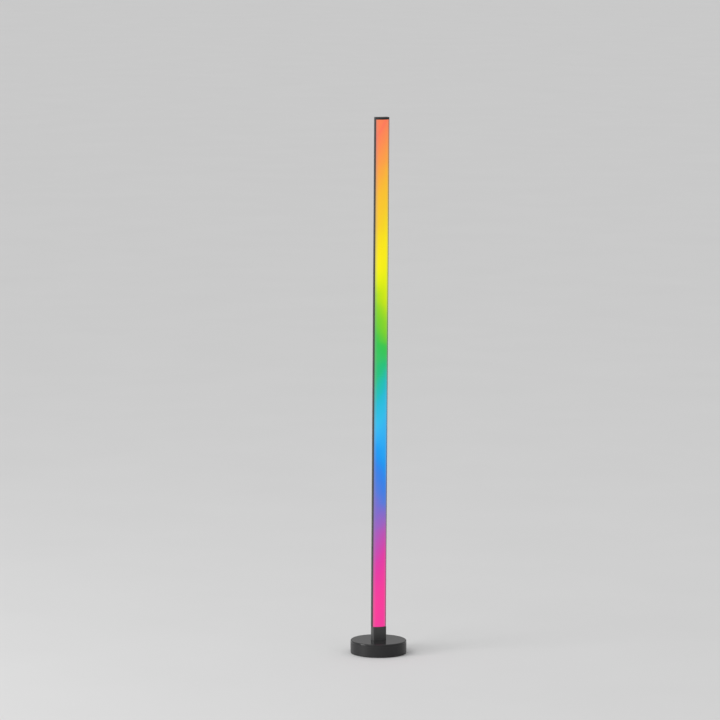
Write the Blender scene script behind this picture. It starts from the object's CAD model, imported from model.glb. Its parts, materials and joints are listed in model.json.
# %% [markdown]
# # An upright bar of coloured light
# The lamp is a thin bar in four plug-together sections, on a short stem on a round base. Its pieces arrive
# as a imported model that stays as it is: sizes, places and joints are settled there. What is left to do is
# how each piece looks. Lengths are metres, +Z is up, and the light faces -Y.

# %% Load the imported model
import bpy
import bmesh
import json
import math
from mathutils import Color, Matrix, Vector


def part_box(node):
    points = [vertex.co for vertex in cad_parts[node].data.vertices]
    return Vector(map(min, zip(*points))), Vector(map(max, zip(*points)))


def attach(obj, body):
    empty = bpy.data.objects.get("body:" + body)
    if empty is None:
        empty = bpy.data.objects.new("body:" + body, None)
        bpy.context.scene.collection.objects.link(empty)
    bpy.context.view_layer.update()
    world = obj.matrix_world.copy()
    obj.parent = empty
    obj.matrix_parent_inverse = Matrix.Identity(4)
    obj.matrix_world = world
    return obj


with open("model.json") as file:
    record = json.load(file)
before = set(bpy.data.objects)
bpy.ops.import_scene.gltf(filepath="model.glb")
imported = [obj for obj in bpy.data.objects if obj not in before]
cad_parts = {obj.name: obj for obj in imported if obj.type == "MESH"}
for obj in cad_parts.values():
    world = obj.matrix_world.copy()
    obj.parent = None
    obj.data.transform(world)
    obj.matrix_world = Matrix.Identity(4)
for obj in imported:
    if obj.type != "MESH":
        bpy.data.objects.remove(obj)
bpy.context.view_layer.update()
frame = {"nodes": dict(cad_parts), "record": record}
mm = 0.001
SECTIONS = range(1, 5)                   # section 1 stands on the stem, and section 4 carries the cap

# %% [markdown]
# ## Where the eye stands
# The lamp is pictured from its left front and from a little above eye height, far away through a long lens:
# its top is seen from 4 degrees above and its base from 11. A camera close by would show a much wider base
# than top. The lens is chosen last, so that the lamp fills the same share of the height as in the picture.

# %% Camera
CAMERA_AZIMUTH = math.radians(-19.0)     # 0 looks along +Y, and a negative one stands to the left
CAMERA_DISTANCE = 10.94
CAMERA_HEIGHT = 2.222
CAMERA_YAW = math.radians(0.276)         # the lamp stands a little to the right of the middle
CAMERA_PITCH = math.radians(-7.559)
CAMERA_LEAN = math.radians(0.349)        # the upright bar leans to the right by this much
LENS = 213.26                            # in millimetres, as is the sensor
SENSOR_WIDTH = 36.0
SIGHT = 200.0                            # how far the camera sees: past the end of the floor


def make_camera():
    ahead = Vector((-math.sin(CAMERA_AZIMUTH), math.cos(CAMERA_AZIMUTH), 0.0))
    place = -CAMERA_DISTANCE * ahead + Vector((0, 0, CAMERA_HEIGHT))
    ahead.rotate(Matrix.Rotation(CAMERA_YAW, 3, "Z"))
    level_right = ahead.cross(Vector((0, 0, 1)))
    view = math.cos(CAMERA_PITCH) * ahead + Vector((0, 0, math.sin(CAMERA_PITCH)))
    level_up = level_right.cross(view)
    right = math.cos(CAMERA_LEAN) * level_right + math.sin(CAMERA_LEAN) * level_up
    up = right.cross(view)
    data = bpy.data.cameras.new("camera")
    data.lens = LENS
    data.sensor_width = SENSOR_WIDTH
    data.clip_end = SIGHT
    camera = bpy.data.objects.new("camera", data)
    bpy.context.scene.collection.objects.link(camera)
    camera.matrix_world = Matrix((right, up, -view)).transposed().to_4x4()
    camera.location = place
    bpy.context.scene.camera = camera
    return camera


camera = make_camera()
bpy.context.scene.view_settings.view_transform = "Standard"
print("camera at", [round(value, 2) for value in camera.location])

# %% [markdown]
# ## How a finish is built
# Every finish here is one Principled shader. What is the same all over a surface is a number on its socket.
# What changes over the surface comes from nodes that are wired into it. The nodes could be laid out by hand
# in the shader editor, but a few helpers make the same tree in lines that can be read from top to bottom.

# %% Helpers: a new finish and its nodes
def new_finish(name, steady):
    """A material whose steady values, by socket name, are the same all over."""
    material = bpy.data.materials.new(name)
    material.use_nodes = True
    for socket, value in steady.items():
        shader_of(material).inputs[socket].default_value = value
    return material


def shader_of(material):
    return material.node_tree.nodes["Principled BSDF"]


def add_node(material, kind, inputs, **settings):
    """Adds a node. An input is a plain value, or another node's output to wire in."""
    node = material.node_tree.nodes.new("ShaderNode" + kind)
    for name, value in settings.items():
        setattr(node, name, value)
    for socket, value in inputs.items():
        if isinstance(value, bpy.types.NodeSocket):
            material.node_tree.links.new(value, node.inputs[socket])
        else:
            node.inputs[socket].default_value = value
    return node


def wire(material, output, socket):
    material.node_tree.links.new(output, shader_of(material).inputs[socket])


# %% [markdown]
# ## Patterns with a real size
# Noise, cells and bands are laid out in the lamp's own coordinates, so a pattern has a real size in
# millimetres and stays on its piece when the sections are pulled apart. UV coordinates could carry patterns
# too, but every piece would need its own unwrapping, and sizes would differ from piece to piece.

# %% Helpers: places and patterns
EVEN = (1, 1, 1)                         # how a pattern is drawn out along X, Y and Z: here not at all


def place_on(material):
    """The place on the piece, in metres in the lamp's frame."""
    return add_node(material, "TexCoord", {}).outputs["Object"]


def axis_of(material, axis):
    return add_node(material, "SeparateXYZ", {"Vector": place_on(material)}).outputs[axis]


def noise(material, size, detail=3.0, stretch=EVEN):
    """Cloudy noise from 0 to 1 whose features are about size metres, drawn out along an axis by stretch."""
    shrunk = {"Vector": place_on(material), "Scale": [1 / factor for factor in stretch]}
    place = add_node(material, "Mapping", shrunk).outputs["Vector"]
    inputs = {"Vector": place, "Scale": 1 / size, "Detail": detail}
    return add_node(material, "TexNoise", inputs).outputs["Fac"]


def pits(material, size):
    """Cells of about that size, 0 in the middle of each and up to 1 between them."""
    inputs = {"Vector": place_on(material), "Scale": 1 / size}
    return add_node(material, "TexVoronoi", inputs).outputs["Distance"]


def maths(material, operation, first, second=0.0):
    return add_node(material, "Math", {0: first, 1: second}, operation=operation).outputs[0]


def spread(material, value, low, high, to_low, to_high, **settings):
    """Maps low..high of a value to to_low..to_high, and holds it there beyond."""
    inputs = {"Value": value, "From Min": low, "From Max": high, "To Min": to_low, "To Max": to_high}
    return add_node(material, "MapRange", inputs, **settings).outputs["Result"]


# %% [markdown]
# ## What a pattern can change
# A pattern becomes a mix of two colours, a change of shine, or a relief. A relief is a bump with a depth in
# metres, so it stays as shallow as on the real surface, whatever the size of its pattern.

# %% Helpers: colour, shine and relief
MIX_SHARE, MIX_FIRST, MIX_SECOND, MIX_RESULT = 0, 6, 7, 2     # the Mix node's sockets for colours
NOISE_RANGE = (0.3, 0.7)                 # noise seldom leaves this range


def grey(level, blue=0.0):
    return (level, level, level + blue, 1.0)


def mixed(material, share, first, second):
    """First colour at share 0, second at share 1."""
    inputs = {MIX_SHARE: share, MIX_FIRST: first, MIX_SECOND: second}
    return add_node(material, "Mix", inputs, data_type="RGBA").outputs[MIX_RESULT]


def vary_colour(material, pattern, first, second):
    wire(material, mixed(material, pattern, first, second), "Base Color")


def vary_roughness(material, pattern, low, high):
    wire(material, spread(material, pattern, *NOISE_RANGE, low, high), "Roughness")


def raise_surface(material, height, depth):
    """Bumps the surface by up to depth metres where height is 1."""
    bump = add_node(material, "Bump", {"Height": height, "Distance": depth, "Strength": 1.0})
    wire(material, bump.outputs["Normal"], "Normal")


# %% [markdown]
# ## Which pieces share a finish
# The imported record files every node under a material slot, such as `gloss_black` for the base cover. A
# finish is made once and given to all nodes of its slot, which keeps the four sections alike.

# %% Helpers: dress the nodes of a slot
NODES_OF_SLOT = {}
for subpart in frame["record"]["subparts"]:
    NODES_OF_SLOT.setdefault(subpart["material_slot"], []).append(subpart["node"])


def dress_node(name, material):
    for holder in frame["nodes"][name].material_slots:
        holder.material = material


def dress(slot, material):
    for name in NODES_OF_SLOT[slot]:
        dress_node(name, material)
    print(material.name, "on", ", ".join(NODES_OF_SLOT[slot]))


print("slots:", ", ".join(NODES_OF_SLOT))

# %% [markdown]
# ## The light front
# The milky front is an extruded cover, lit from inside by a row of colour-changing chips that melt into one
# another. It could be lit by real lamps behind a translucent shell, but that is slow and grainy, and a
# translucent shell loses its light when the model is exported. Here the surface itself glows: a ramp runs
# from coral at the top to hot pink at the bottom, through all four sections.

# %% The colours down the bar
LIT_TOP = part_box("diffuser_4")[1].z
LIT_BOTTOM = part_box("stem")[1].z
RAINBOW = [                              # share of the way down; hue in degrees, saturation and brightness
    (0.02, "coral", (15, 0.65, 1.00)),
    (0.11, "amber", (37, 0.76, 0.99)),
    (0.20, "gold", (49, 0.84, 0.98)),
    (0.29, "yellow", (59, 0.92, 0.96)),
    (0.36, "lime", (75, 0.86, 0.88)),
    (0.43, "green", (109, 0.68, 0.80)),
    (0.47, "emerald", (144, 0.74, 0.77)),
    (0.50, "teal", (163, 0.80, 0.76)),
    (0.54, "aqua", (186, 0.82, 0.81)),
    (0.60, "sky", (198, 0.78, 0.95)),
    (0.68, "azure", (209, 0.83, 0.94)),
    (0.75, "periwinkle", (230, 0.54, 0.85)),
    (0.80, "violet", (284, 0.50, 0.75)),
    (0.86, "magenta", (319, 0.70, 0.86)),
    (0.93, "hot pink", (329, 0.75, 0.97)),
]


def linear(hue, saturation, brightness):
    """A colour as a screen shows it, as the amounts of light that a shader wants."""
    shown = Color()
    shown.hsv = (hue / 360, saturation, brightness)
    return shown.from_srgb_to_scene_linear()


def rainbow(material, share_down):
    """The bar's colour at a share of the way down."""
    ramp = add_node(material, "ValToRGB", {"Fac": share_down})
    ramp.color_ramp.interpolation = "CARDINAL"
    stops = ramp.color_ramp.elements
    while len(stops) < len(RAINBOW):
        stops.new(1.0)
    for stop, (share, _, colour) in zip(stops, RAINBOW):
        stop.position = share
        stop.color = (*linear(*colour), 1.0)
    return ramp.outputs["Color"]


print("lit from", round(LIT_BOTTOM, 3), "to", round(LIT_TOP, 3))
print("colours down the bar:", ", ".join(name for _, name, _ in RAINBOW))

# %% [markdown]
# ## Slanting bands
# The colours don't change in level bands. Each band slants one way or the other across the width, because
# neighbouring chips light the cover unevenly, so the share of the way down is moved a little by the place
# across, along a slow wave, and by soft noise. A second ramp could be painted for the right half, but a
# formula keeps both halves of the bar in step.

# %% Share of the way down
SLANT = 1.9                              # how far a band moves along the bar per metre across, at most
SLANT_TURNS = 3.125                      # turns of that slant over the lit length
SLANT_ZERO = 0.30                        # share of the way down where the bands lie level
SLANT_FROM, SLANT_TO = 0.22, 0.86        # the slant stays the same above and below these
DRIFT = 14 * mm                          # how far soft noise moves a band up or down
DRIFT_SIZE = 30 * mm


def share_down_bar(material):
    height = axis_of(material, "Z")
    across = axis_of(material, "X")
    level = spread(material, height, LIT_TOP, LIT_BOTTOM, 0.0, 1.0)
    held = spread(material, level, SLANT_FROM, SLANT_TO, SLANT_FROM, SLANT_TO)
    turn = maths(material, "SUBTRACT", SLANT_ZERO, held)
    wave = maths(material, "SINE", maths(material, "MULTIPLY", turn, 2 * math.pi * SLANT_TURNS))
    slant = maths(material, "MULTIPLY", maths(material, "MULTIPLY", across, wave), SLANT)
    drift = spread(material, noise(material, DRIFT_SIZE), 0.0, 1.0, -DRIFT, DRIFT)
    moved = maths(material, "SUBTRACT", height, maths(material, "ADD", slant, drift))
    return spread(material, moved, LIT_TOP, LIT_BOTTOM, 0.0, 1.0)


print("bands slant by up to", round(math.degrees(math.atan(SLANT))), "degrees and drift by", DRIFT / mm, "mm")

# %% [markdown]
# ## A milky surface
# The chips sit behind the middle of the cover, so towards both long edges its colour is a little weaker and
# greyer. The cover is opal plastic with the fine lines of the extrusion along it. Most of its colour is
# glow, and in plain room light it shows only a trace of it.

# %% Lit cover
EDGE_START = 10 * mm                     # from the middle of the bar to where the glow begins to weaken
EDGE_END = 17 * mm
EDGE_SHARE = 0.32                        # how much of the edge colour there is at the very edge
EDGE_GREY = 0.25
GLOW = 0.91
TINT = 0.10                              # how much of its colour the cover shows in plain room light
DIE_LINES = (1, 1, 12)                   # draws a pattern out along the bar


def lit_cover():
    steady = {"Roughness": 0.45, "Specular IOR Level": 0.12, "Emission Strength": GLOW}
    material = new_finish("lit_cover", steady)
    colour = rainbow(material, share_down_bar(material))
    side = maths(material, "ABSOLUTE", axis_of(material, "X"))
    edge = spread(material, side, EDGE_START, EDGE_END, 0.0, EDGE_SHARE, interpolation_type="SMOOTHSTEP")
    colour = mixed(material, edge, colour, grey(EDGE_GREY))
    wire(material, colour, "Emission Color")
    vary_colour(material, TINT, grey(0.0), colour)
    raise_surface(material, noise(material, 0.5 * mm, stretch=DIE_LINES), 0.01 * mm)
    return material


cover = lit_cover()
for section in SECTIONS:
    dress(f"diffuser_{section}", cover)

# %% [markdown]
# ## Gloss black base cover
# The drum is moulded in gloss black plastic. Its top comes off a polished face of the mould and mirrors the
# stem and the room. Its side has to slide out of the mould, so that face is finished a little less fine, and
# light blurs into soft upright bands on it. The top also has the faint ripple of all thin gloss mouldings.

# %% Gloss black
BASE_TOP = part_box("base_cover")[1].z
GLOSS_BEGINS = BASE_TOP - 6 * mm         # the side's finish ends here, and the polish is whole a bit higher
GLOSS_WHOLE = BASE_TOP - 3.5 * mm
SIDE_ROUGHNESS = 0.36
TOP_ROUGHNESS = 0.10
SMEARS = 0.03                            # added by faint smears from handling


def gloss_black():
    material = new_finish("gloss_black", {"IOR": 1.45, "Specular IOR Level": 0.35})
    cloudy = noise(material, 25 * mm)
    height = axis_of(material, "Z")
    polish = spread(material, height, GLOSS_BEGINS, GLOSS_WHOLE, SIDE_ROUGHNESS, TOP_ROUGHNESS)
    smears = spread(material, cloudy, 0.35, 0.7, 0.0, SMEARS)
    wire(material, maths(material, "ADD", polish, smears), "Roughness")
    vary_colour(material, cloudy, grey(0.019), grey(0.026, 0.001))
    raise_surface(material, noise(material, 6 * mm, detail=1.0), 0.006 * mm)
    return material


dress("gloss_black", gloss_black())

# %% [markdown]
# ## Satin black stem and cap
# Both are moulded with a fine spark-eroded grain: grains a few tenths of a millimetre wide that scatter
# light, so that the surface looks soft and a touch greyer than the gloss base. A bump with a real depth does
# that.

# %% Satin black
CLOUDS = 1.35                            # how much lighter the lightest clouds of the colour are


def satin_black(name, level, grain):
    material = new_finish(name, {"IOR": 1.5})
    vary_colour(material, noise(material, 18 * mm), grey(level), grey(CLOUDS * level, 0.001))
    vary_roughness(material, noise(material, 2 * mm), 0.36, 0.44)
    raise_surface(material, noise(material, grain, detail=2.0), 0.03 * mm)
    return material


dress("stem_black", satin_black("stem_black", 0.044, 0.5 * mm))
dress("cap_black", satin_black("cap_black", 0.016, 0.4 * mm))

# %% [markdown]
# ## Black anodised channel
# The long channel is extruded aluminium, anodised black and then sawn to length. The die leaves fine lines
# along it, and the saw leaves bare metal on both ends, which shows when a section is lifted off the next.
# One node material does both: the surface's own direction tells a sawn end from a side.

# %% Black anodised aluminium
SAWN = 0.9                               # a face that points up or down at least this much is a sawn end
LONG_LINES = (1, 1, 400)
LONG_CLOUDS = (1, 1, 3)
SAW_MARKS = (12, 1, 1)                   # along X, the way the blade went


def sawn_ends(material):
    """1 on the ends and 0 on the sides."""
    facing = add_node(material, "TexCoord", {}).outputs["Normal"]
    upward = add_node(material, "SeparateXYZ", {"Vector": facing}).outputs["Z"]
    return maths(material, "GREATER_THAN", maths(material, "ABSOLUTE", upward), SAWN)


def anodised_black():
    material = new_finish("anodised_black", {"IOR": 1.5})
    sawn = sawn_ends(material)
    lines = noise(material, 0.6 * mm, stretch=LONG_LINES)
    dyed = mixed(material, lines, grey(0.013), grey(0.026, 0.002))
    bare = mixed(material, noise(material, 0.8 * mm, stretch=SAW_MARKS), grey(0.50), grey(0.72, 0.01))
    vary_colour(material, sawn, dyed, bare)
    wire(material, sawn, "Metallic")
    vary_roughness(material, noise(material, 40 * mm, stretch=LONG_CLOUDS), 0.36, 0.46)
    raise_surface(material, lines, 0.008 * mm)
    return material


dress("channel_black", anodised_black())

# %% [markdown]
# ## Bare metals
# The tongues that join the sections are plain extruded bar, the screws are zinc plated, and the pins are
# plated brass. All are the same idea: a metal, streaks or clouds in its shine, and a very shallow bump. So
# one helper makes them all, and a list says how they differ.

# %% Metals
LENGTHWISE = (1, 1, 60)


def metal(name, dull, bright, shine, size, stretch=EVEN, depth=0.004 * mm):
    """Dull and bright are the two colours that it varies between, and shine its two roughnesses."""
    material = new_finish(name, {"Metallic": 1.0})
    pattern = noise(material, size, stretch=stretch)
    vary_colour(material, spread(material, pattern, *NOISE_RANGE, 0.0, 1.0), dull, bright)
    vary_roughness(material, pattern, *shine)
    raise_surface(material, pattern, depth)
    return material


METALS = [                               # slot; then name, dull, bright, shine, size and so on of the metal
    ("joiner_aluminium", "plain_aluminium", grey(0.62), grey(0.74, 0.01), (0.36, 0.26), 0.7 * mm, LENGTHWISE),
    ("zinc_screw", "bright_zinc", grey(0.55), grey(0.70, 0.02), (0.34, 0.22), 0.8 * mm),
    ("black_screw", "black_zinc", grey(0.030), grey(0.060, 0.004), (0.42, 0.30), 0.8 * mm),
    ("pin_brass", "plated_brass", (0.74, 0.52, 0.20, 1), (0.88, 0.66, 0.30, 1), (0.30, 0.18), 0.5 * mm),
    ("backing_zinc", "zinc_sheet", grey(0.46, 0.01), grey(0.66, 0.02), (0.45, 0.30), 6 * mm, EVEN, 0.01 * mm),
    ("can_tin", "tinned_sheet", grey(0.64), grey(0.76, 0.005), (0.36, 0.24), 1.5 * mm),
]
for slot, *values in METALS:
    dress(slot, metal(*values))

# %% [markdown]
# ## Cast weight and coated plate
# These are rough finishes, where the surface's own relief matters more than its colour: the grain of a sand
# casting and the orange-peel of powder coat. The same noise makes the relief and the change of shine,
# because on the real surface a grain's slopes are what scatters the light.

# %% Cast iron and powder coat
def cast_iron():
    material = new_finish("cast_iron", {"Metallic": 0.6})
    sand = noise(material, 1.1 * mm, detail=6.0)
    vary_colour(material, noise(material, 15 * mm), grey(0.07), (0.13, 0.12, 0.115, 1))
    vary_roughness(material, sand, 0.55, 0.8)
    raise_surface(material, sand, 0.15 * mm)
    return material


def powder_coat():
    material = new_finish("powder_coat", {"IOR": 1.5})
    peel = noise(material, 1.4 * mm, detail=1.5)
    vary_colour(material, noise(material, 30 * mm), grey(0.022), grey(0.034))
    vary_roughness(material, peel, 0.42, 0.55)
    raise_surface(material, peel, 0.06 * mm)
    return material


dress("weight_iron", cast_iron())
dress("plate_steel", powder_coat())

# %% [markdown]
# ## Rubber and foam
# The feet have the dull skin of moulded rubber. The ring on the weight is foam with open cells, and noise
# would make it look like felt, so it gets a texture of rounded cells instead, dark in the middle of each.

# %% Rubber and foam
def rubber():
    material = new_finish("rubber", {"Specular IOR Level": 0.35})
    skin = noise(material, 0.8 * mm, detail=4.0)
    vary_colour(material, noise(material, 9 * mm), grey(0.020), grey(0.036))
    vary_roughness(material, skin, 0.66, 0.85)
    raise_surface(material, skin, 0.05 * mm)
    return material


def foam():
    material = new_finish("foam", {"Roughness": 0.95, "Specular IOR Level": 0.1})
    cells = pits(material, 1.2 * mm)
    vary_colour(material, spread(material, cells, 0.0, 0.6, 0.0, 1.0), grey(0.02), grey(0.075))
    raise_surface(material, cells, 0.5 * mm)
    return material


dress("foot_rubber", rubber())
dress("pad_foam", foam())

# %% [markdown]
# ## Light boards
# A circuit board is a film of resist over copper tracks. Where a track runs underneath, the film stands up
# by a few hundredths of a millimetre and looks lighter or yellower. The long light boards are white, and two
# bands along them are their supply tracks.

# %% White boards
TRACK_FROM, TRACK_TO = 4.2 * mm, 7.8 * mm                # edges of each track, from the middle of the board
TRACK_SLOPE = 0.2 * mm
TRACK_SHOWS = 0.35                       # how much of the copper's colour comes through the film
FILM_RISE = 0.03 * mm


def light_board_white():
    material = new_finish("light_board_white", {"Roughness": 0.35})
    side = maths(material, "ABSOLUTE", axis_of(material, "X"))
    inner = spread(material, side, TRACK_FROM, TRACK_FROM + TRACK_SLOPE, 0.0, 1.0)
    outer = spread(material, side, TRACK_TO - TRACK_SLOPE, TRACK_TO, 1.0, 0.0)
    track = maths(material, "MULTIPLY", inner, outer)
    film = mixed(material, noise(material, 4 * mm), grey(0.78), grey(0.86, -0.01))
    vary_colour(material, maths(material, "MULTIPLY", track, TRACK_SHOWS), film, (0.80, 0.74, 0.62, 1))
    raise_surface(material, track, FILM_RISE)
    return material


dress("board_white", light_board_white())

# %% [markdown]
# ## Control board
# This board is green, with thin tracks close together. A Brick texture makes them: long low bricks with thin
# joints are lanes of tracks, and noise keeps them to a few crowded areas. Modelled tracks would take
# thousands of faces for a relief that is thinner than a hair.

# %% Green board
LANE_LENGTH = 11 * mm
LANE_PITCH = 0.8 * mm
LANE_GAP = 0.16 * mm
CROWD_SIZE = 7 * mm
CROWD_EDGE = (0.48, 0.52)                # the noise between which tracks come in


def control_board_green():
    material = new_finish("control_board_green", {"Roughness": 0.3})
    sizes = {"Vector": place_on(material), "Scale": 1.0, "Mortar Size": LANE_GAP, "Mortar Smooth": 0.1,
             "Brick Width": LANE_LENGTH, "Row Height": LANE_PITCH}
    uneven = {"offset": 0.37, "offset_frequency": 3, "squash": 0.4, "squash_frequency": 4}
    lanes = add_node(material, "TexBrick", sizes, **uneven).outputs["Fac"]
    crowded = spread(material, noise(material, CROWD_SIZE, detail=1.0), *CROWD_EDGE, 0.0, 1.0)
    tracks = maths(material, "MULTIPLY", lanes, crowded)
    film = mixed(material, noise(material, 6 * mm), (0.012, 0.11, 0.045, 1), (0.018, 0.15, 0.065, 1))
    vary_colour(material, tracks, film, (0.03, 0.21, 0.09, 1))
    raise_surface(material, tracks, FILM_RISE)
    return material


dress("board_green", control_board_green())

# %% [markdown]
# ## Small mouldings
# Chip housings, socket blocks and plug housings are moulded in pale plastics, and the control parts and the
# pin carriers in black. They differ only in colour and shine, so one helper takes those.

# %% Mouldings
def moulding(name, dark, light, roughness):
    material = new_finish(name, {"IOR": 1.52})
    vary_colour(material, noise(material, 3 * mm), dark, light)
    vary_roughness(material, noise(material, 1 * mm), roughness, roughness + 0.12)
    raise_surface(material, noise(material, 0.4 * mm), 0.01 * mm)
    return material


dress("chip_cream", moulding("chip_housing", (0.78, 0.75, 0.62, 1), (0.88, 0.85, 0.72, 1), 0.35))
dress("socket_white", moulding("natural_nylon", (0.72, 0.70, 0.63, 1), (0.82, 0.80, 0.74, 1), 0.40))
dress("header_white", moulding("plug_housing", (0.76, 0.74, 0.67, 1), (0.85, 0.83, 0.77, 1), 0.38))
dress("part_black", moulding("part_black", grey(0.020), grey(0.034), 0.38))

# %% [markdown]
# ## Wires
# The three wires of each run share one node and lie side by side. Three materials would need three nodes, so
# one finish picks the colour by the place across: black on the left, green in the middle, red on the right.

# %% Wire jackets
WIRE_PITCH = 3 * mm


def wire_jackets():
    material = new_finish("wire_jackets", {"Roughness": 0.4})
    across = axis_of(material, "X")
    streaks = noise(material, 1.5 * mm)
    black = mixed(material, streaks, grey(0.015), grey(0.025))
    green = mixed(material, streaks, (0.015, 0.15, 0.035, 1), (0.025, 0.2, 0.05, 1))
    red = mixed(material, streaks, (0.36, 0.014, 0.01, 1), (0.48, 0.024, 0.016, 1))
    past_left = maths(material, "GREATER_THAN", across, -WIRE_PITCH / 2)
    past_middle = maths(material, "GREATER_THAN", across, WIRE_PITCH / 2)
    vary_colour(material, past_middle, mixed(material, past_left, black, green), red)
    return material


dress("lead_jacket", wire_jackets())

# %% [markdown]
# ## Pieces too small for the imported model
# What is left are the parts of a few tenths of a millimetre: resin in the chips, resistors, contact strips
# and chip legs. Each kind is one mesh with all its copies in it. A mesh could be a cube with a Bevel
# modifier, but here the points are laid down in code, because a formula keeps every copy in line with the
# piece it sits on.

# %% Helpers: small solids
TURNING_STEPS = 20
SHARP_FROM = math.radians(40)            # an edge that turns by more stays sharp


def turned(bm, profile, centre, lean, steps=TURNING_STEPS):
    """Adds a solid turned from (radius, height) points, from its foot on the axis to its tip on the axis."""
    rings = []
    for radius, height in profile:
        count = 1 if radius == 0 else steps
        turns = [2 * math.pi * k / steps for k in range(count)]
        points = [Vector((radius * math.cos(turn), radius * math.sin(turn), height)) for turn in turns]
        rings.append([bm.verts.new(centre + lean @ point) for point in points])
    for low, high in zip(rings, rings[1:]):
        for k in range(steps):
            corners = [low[k % len(low)], low[(k + 1) % len(low)],
                       high[(k + 1) % len(high)], high[k % len(high)]]
            bm.faces.new(list(dict.fromkeys(corners)))


def rounded_brick(bm, centre, size, rounding, finish=0):
    """Adds a block with rounded edges. Finish is the number of its material in the piece."""
    placed = Matrix.Translation(centre) @ Matrix.Diagonal((*size, 1.0))
    made = bmesh.ops.create_cube(bm, size=1.0, matrix=placed)
    edges = list(dict.fromkeys(edge for corner in made["verts"] for edge in corner.link_edges))
    rounded = bmesh.ops.bevel(bm, geom=edges, offset=rounding, segments=2, affect="EDGES", profile=0.5)
    for face in {face for corner in rounded["verts"] for face in corner.link_faces}:
        face.material_index = finish


def make_piece(name, bm, materials, body):
    """Turns the mesh into a piece that rides on a body."""
    bmesh.ops.recalc_face_normals(bm, faces=bm.faces)
    mesh = bpy.data.meshes.new(name)
    bm.to_mesh(mesh)
    bm.free()
    mesh.shade_smooth()
    mesh.set_sharp_from_angle(angle=SHARP_FROM)
    for material in materials:
        mesh.materials.append(material)
    piece = bpy.data.objects.new(name, mesh)
    bpy.context.scene.collection.objects.link(piece)
    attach(piece, body)
    print(name, "rides on", body, "with", len(mesh.polygons), "faces")


# %% [markdown]
# ### Resin drops
# The round well of every chip is filled with clear resin that stands up in the middle like a drop. A spline
# could draw the drop, but four points with a smooth shade are enough at this size.

# %% Resin drops
CHIP = 5 * mm
CHIPS_IN_ROW = 20
WELL_DEPTH = 0.5 * mm
DROP_RADIUS = 1.9 * mm
DROP_RISE = 0.25 * mm                    # above the chip's face
DROP_CURVE = [(1.0, 0.0), (0.8, 0.6), (0.45, 0.9), (0.0, 1.0)]          # shares of the radius and of the rise
FACING_FRONT = Matrix.Rotation(math.radians(90), 3, "X")      # turns a solid's tip from +Z to -Y


def chip_centres(section):
    """Middle of each chip's front face, from the bottom up."""
    low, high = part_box(f"light_chips_{section}")
    pitch = (high.z - low.z - CHIP) / (CHIPS_IN_ROW - 1)
    return [Vector((0, low.y, low.z + CHIP / 2 + k * pitch)) for k in range(CHIPS_IN_ROW)]


def clear_resin():
    material = new_finish("clear_resin", {"Roughness": 0.08, "IOR": 1.45})
    vary_colour(material, noise(material, 1 * mm), (0.80, 0.76, 0.58, 1), (0.90, 0.87, 0.72, 1))
    raise_surface(material, noise(material, 1.2 * mm), 0.01 * mm)
    return material


def resin_drops(section, material):
    bm = bmesh.new()
    profile = [(0, 0), (DROP_RADIUS, 0)]
    profile += [(out * DROP_RADIUS, WELL_DEPTH + up * DROP_RISE) for out, up in DROP_CURVE]
    for centre in chip_centres(section):
        turned(bm, profile, centre + Vector((0, WELL_DEPTH, 0)), FACING_FRONT)
    make_piece(f"resin_drops_{section}", bm, [material], f"section_{section}")


resin = clear_resin()
for section in SECTIONS:
    resin_drops(section, resin)

# %% [markdown]
# ### Resistors and capacitors
# Between one chip and the next sit a resistor and a capacitor, on either side of the row: a dark or tan block
# between two bright solder caps. Each is three rounded blocks that touch. Joined into one skin they would look
# the same at this size, and take more code.

# %% Resistors and capacitors
PART_X = 6 * mm                          # resistors this far to the right of the row, capacitors to the left
PART_BODY = Vector((1.3, 0.5, 1.25)) * mm
PART_CAP = Vector((0.4, 0.56, 1.31)) * mm
PART_ROUNDING = 0.06 * mm
RESISTOR, SOLDER, CAPACITOR = 0, 1, 2    # places in the list of a piece's materials


def board_part(bm, foot, body_finish):
    """One small part whose back lies on the board at foot, with a cap at its left and its right end."""
    for shift, size, finish in ((0, PART_BODY, body_finish), (-1, PART_CAP, SOLDER), (1, PART_CAP, SOLDER)):
        across = shift * (PART_BODY.x + PART_CAP.x) / 2
        rounded_brick(bm, foot + Vector((across, -size.y / 2, 0)), size, PART_ROUNDING, finish)


def board_parts(section, materials):
    bm = bmesh.new()
    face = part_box(f"light_board_{section}")[0].y
    centres = chip_centres(section)
    for centre, above in zip(centres, centres[1:]):
        between = (centre.z + above.z) / 2
        board_part(bm, Vector((PART_X, face, between)), RESISTOR)
        board_part(bm, Vector((-PART_X, face, between)), CAPACITOR)
    make_piece(f"board_parts_{section}", bm, materials, f"section_{section}")


solder = metal("solder", grey(0.58), grey(0.74, 0.01), (0.34, 0.22), 0.4 * mm)
resistor_black = moulding("resistor_black", grey(0.018), grey(0.030), 0.32)
ceramic_tan = moulding("ceramic_tan", (0.36, 0.24, 0.14, 1), (0.44, 0.30, 0.19, 1), 0.42)
for section in SECTIONS:
    board_parts(section, [resistor_black, solder, ceramic_tan])

# %% [markdown]
# ### Power inlet
# A flat tongue in the inlet's shell carries gilded contact strips above and below. They could be painted on
# as a colour, but they stand proud of the moulding, and anyone who looks into the inlet sees their rounded
# ends.

# %% Contact strips
STRIPS = 6
STRIP_PITCH = 1.0 * mm
STRIP = Vector((0.5, 3.8, 0.10)) * mm
STRIP_ROUNDING = 0.04 * mm
STRIP_INSET = 0.5 * mm                   # from the tongue's end
TONGUE_THICKNESS = 0.7 * mm


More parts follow.
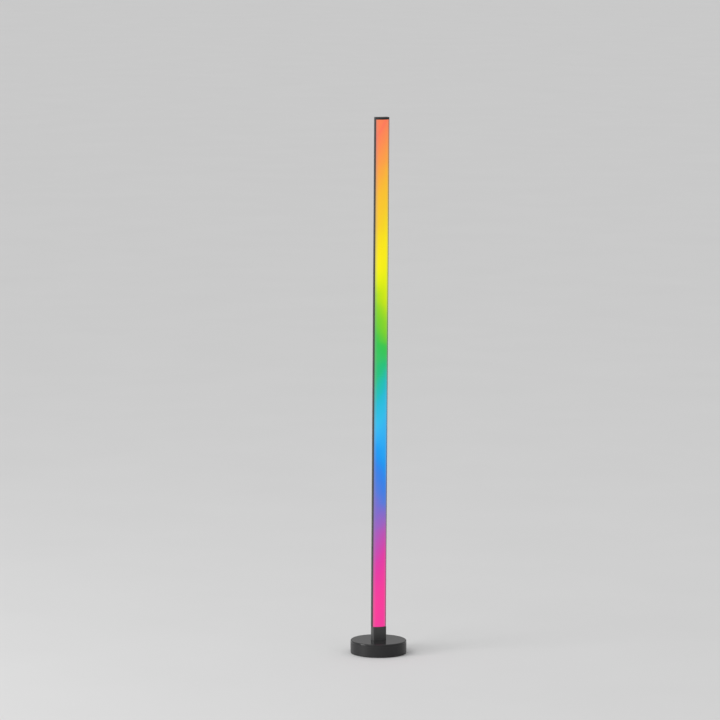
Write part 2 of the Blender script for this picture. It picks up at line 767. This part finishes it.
def contact_strips():
    bm = bmesh.new()
    low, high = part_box("inlet_tongue")
    middle = (low.z + high.z) / 2
    y = high.y - STRIP_INSET - STRIP.y / 2
    for k in range(STRIPS):
        x = (k - (STRIPS - 1) / 2) * STRIP_PITCH
        for side in (-1, 1):
            rounded_brick(bm, Vector((x, y, middle + side * TONGUE_THICKNESS / 2)), STRIP, STRIP_ROUNDING)
    gilt = metal("gilded_contact", (0.80, 0.55, 0.16, 1), (0.92, 0.68, 0.26, 1), (0.26, 0.16), 0.5 * mm)
    make_piece("inlet_contacts", bm, [gilt], "base")


contact_strips()

# %% [markdown]
# ### Chip legs
# The driver chip stands on five bent legs a side. Each leg follows a bent line: out of the chip, down, and
# flat on the board. A curve with a bevel could draw it, but four rings of four points give the square edges
# of stamped sheet.

# %% Chip legs
BOARD_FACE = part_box("control_board")[1].z
DRIVER_SIDES = (4 * mm, 9 * mm)          # left and right side of the driver chip
DRIVER_MIDDLE = 56.5 * mm
LEGS = 5
LEG_PITCH = 0.95 * mm
LEG_WIDTH = 0.38 * mm
LEG_THICKNESS = 0.14 * mm
LEG_LINE = [(0.0, 0.6 * mm), (0.25 * mm, 0.6 * mm), (0.5 * mm, 0.07 * mm), (1.0 * mm, 0.07 * mm)]
LEG_CORNERS = ((-1, -1), (1, -1), (1, 1), (-1, 1))


def bent_leg(bm, x, y, outward):
    """Adds one leg that leaves the chip's side at x towards outward (+1 or -1) and stands on the board."""
    rings = []
    for reach, height in LEG_LINE:
        middle = Vector((x + outward * reach, y, BOARD_FACE + height))
        shifts = [(0, side * LEG_WIDTH / 2, rise * LEG_THICKNESS / 2) for side, rise in LEG_CORNERS]
        rings.append([bm.verts.new(middle + Vector(shift)) for shift in shifts])
    for first, second in zip(rings, rings[1:]):
        for k in range(4):
            bm.faces.new((first[k], first[(k + 1) % 4], second[(k + 1) % 4], second[k]))
    bm.faces.new(rings[0])
    bm.faces.new(rings[-1])


def driver_legs():
    bm = bmesh.new()
    for x, outward in zip(DRIVER_SIDES, (-1, 1)):
        for k in range(LEGS):
            bent_leg(bm, x, DRIVER_MIDDLE + (k - (LEGS - 1) / 2) * LEG_PITCH, outward)
    make_piece("driver_legs", bm, [solder], "base")


driver_legs()

# %% [markdown]
# ### Capacitor lids
# Each capacitor ends in a bright lid with a scored cross, which lets it burst safely. The lid is turned, and
# its cross is two thin dark bars set into the top, because a cut would need many more faces for the same look.

# %% Capacitor lids
CAPACITORS = [                           # place on the board, radius and height of each
    ((14.0 * mm, 49.0 * mm), 3.15 * mm, 7.7 * mm),
    ((7.0 * mm, 49.5 * mm), 2.5 * mm, 5.5 * mm),
]
LID_STEPS = 32
LID_RISE = 0.12 * mm
LID_SHOULDER = 0.9                       # share of the lid's radius that is flat
LID_EDGE = 0.35 * mm                     # width of the sleeve's rim around the lid
SCORE_LENGTH = 1.3                       # in radii of the lid
SCORE_WIDTH = 0.22 * mm
SCORE_DEPTH = 0.06 * mm
SCORE_ROUNDING = 0.02 * mm


def capacitor_lids():
    bm = bmesh.new()
    for (x, y), radius, height in CAPACITORS:
        foot = Vector((x, y, BOARD_FACE + height))
        lid = radius - LID_EDGE
        profile = [(0, 0), (lid, 0), (lid, 0.5 * LID_RISE), (LID_SHOULDER * lid, LID_RISE), (0, LID_RISE)]
        turned(bm, profile, foot, Matrix.Identity(3), LID_STEPS)
        for size_x, size_y in ((SCORE_LENGTH * lid, SCORE_WIDTH), (SCORE_WIDTH, SCORE_LENGTH * lid)):
            size = Vector((size_x, size_y, SCORE_DEPTH))
            rounded_brick(bm, foot + Vector((0, 0, LID_RISE)), size, SCORE_ROUNDING, 1)
    lid_metal = metal("capacitor_lid", grey(0.60), grey(0.76), (0.30, 0.20), 0.8 * mm)
    scored = metal("scored_line", grey(0.10), grey(0.18), (0.5, 0.4), 0.3 * mm)
    make_piece("capacitor_lids", bm, [lid_metal, scored], "base")


capacitor_lids()

# %% [markdown]
# ### Radio board
# The wireless module is a thin green board under a tinned can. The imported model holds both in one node, so
# the finish goes by height: board below the can's foot, tin above it.

# %% Radio board and can
CAN_FOOT = BOARD_FACE + 0.82 * mm        # a hair above the face of the radio board


def radio_finish():
    material = new_finish("radio_board_and_can", {})
    above = maths(material, "GREATER_THAN", axis_of(material, "Z"), CAN_FOOT)
    cloudy = noise(material, 1.5 * mm)
    tin = mixed(material, cloudy, grey(0.64), grey(0.76, 0.005))
    film = mixed(material, cloudy, (0.010, 0.09, 0.04, 1), (0.016, 0.13, 0.06, 1))
    vary_colour(material, above, film, tin)
    wire(material, above, "Metallic")
    vary_roughness(material, cloudy, 0.36, 0.24)
    raise_surface(material, noise(material, 0.7 * mm), 0.01 * mm)
    return material


dress_node("wireless_module", radio_finish())
print("wireless_module: board below", round(CAN_FOOT / mm, 2), "mm, can above")

# %% [markdown]
# ## Floor
# The lamp stands on a plain pale floor, wide enough that the camera sees nothing else behind the lamp. A wall
# with a rounded corner would do as well in one view, but the lamp is looked at from all sides.

# %% Floor
FLOOR_RADIUS = 60.0


def make_floor():
    mesh = bpy.data.meshes.new("floor")
    bm = bmesh.new()
    bmesh.ops.create_circle(bm, cap_ends=True, segments=96, radius=FLOOR_RADIUS)
    bm.to_mesh(mesh)
    bm.free()
    floor = bpy.data.objects.new("floor", mesh)
    bpy.context.scene.collection.objects.link(floor)
    material = new_finish("floor_paper", {"Roughness": 0.8, "Specular IOR Level": 0.2})
    vary_colour(material, noise(material, 400 * mm), grey(0.70), grey(0.73))
    mesh.materials.append(material)
    return floor


print("floor:", [round(value) for value in make_floor().dimensions])

# %% [markdown]
# ## Sky
# The light around the lamp is soft, and dimmer low down, as in a room whose ceiling is lit. A single grey
# would be simpler, but the gloss top mirrors the sky, and the change from low to high is what makes it look
# polished. The world has nodes as a material has, so the same helpers make it.

# %% Sky
SKY_LOW, SKY_HIGH = 0.20, 0.68           # brightness at the horizon, and from SKY_TURN up
SKY_TURN = 0.45                          # sine of that height above the horizon


def make_sky():
    world = bpy.data.worlds.new("sky")
    world.use_nodes = True
    direction = add_node(world, "TexCoord", {}).outputs["Generated"]
    height = add_node(world, "SeparateXYZ", {"Vector": direction}).outputs["Z"]
    level = spread(world, height, 0.0, SKY_TURN, SKY_LOW, SKY_HIGH, interpolation_type="SMOOTHSTEP")
    background = world.node_tree.nodes["Background"]
    background.inputs["Color"].default_value = (1.0, 1.0, 1.0, 1.0)
    world.node_tree.links.new(level, background.inputs["Strength"])
    bpy.context.scene.world = world


make_sky()
print("sky from", SKY_LOW, "to", SKY_HIGH)

# %% [markdown]
# ## Sun and softbox
# A broad soft sun from the left makes the lamp's shadow. A square softbox stands to the left too, because
# the base shows the reflection of one there: a soft upright band on its side and a short bright mark on its
# rounded edge.

# %% Sun and softbox
SUN_POWER = 0.72
SUN_SPREAD = math.radians(34)
SUN_FROM = Vector((-0.70, -0.20, 0.80))
SOFTBOX_AT = Vector((-5.2, -0.5, 1.15))
SOFTBOX_AIM = Vector((0, 0, 0.5))        # a point on the lamp
SOFTBOX_SIDE = 2.0
SOFTBOX_POWER = 150.0


def add_light(name, kind, power, direction):
    data = bpy.data.lights.new(name, kind)
    data.energy = power
    light = bpy.data.objects.new(name, data)
    bpy.context.scene.collection.objects.link(light)
    light.rotation_mode = "QUATERNION"
    light.rotation_quaternion = direction.to_track_quat("-Z", "Y")
    return light


def make_lights():
    sun = add_light("sun", "SUN", SUN_POWER, -SUN_FROM)
    sun.data.angle = SUN_SPREAD
    softbox = add_light("softbox", "AREA", SOFTBOX_POWER, SOFTBOX_AIM - SOFTBOX_AT)
    softbox.data.shape = "SQUARE"
    softbox.data.size = SOFTBOX_SIDE
    softbox.location = SOFTBOX_AT
    softbox.visible_camera = False


make_lights()
print("sun", SUN_POWER, "softbox", SOFTBOX_POWER, "at", list(SOFTBOX_AT))
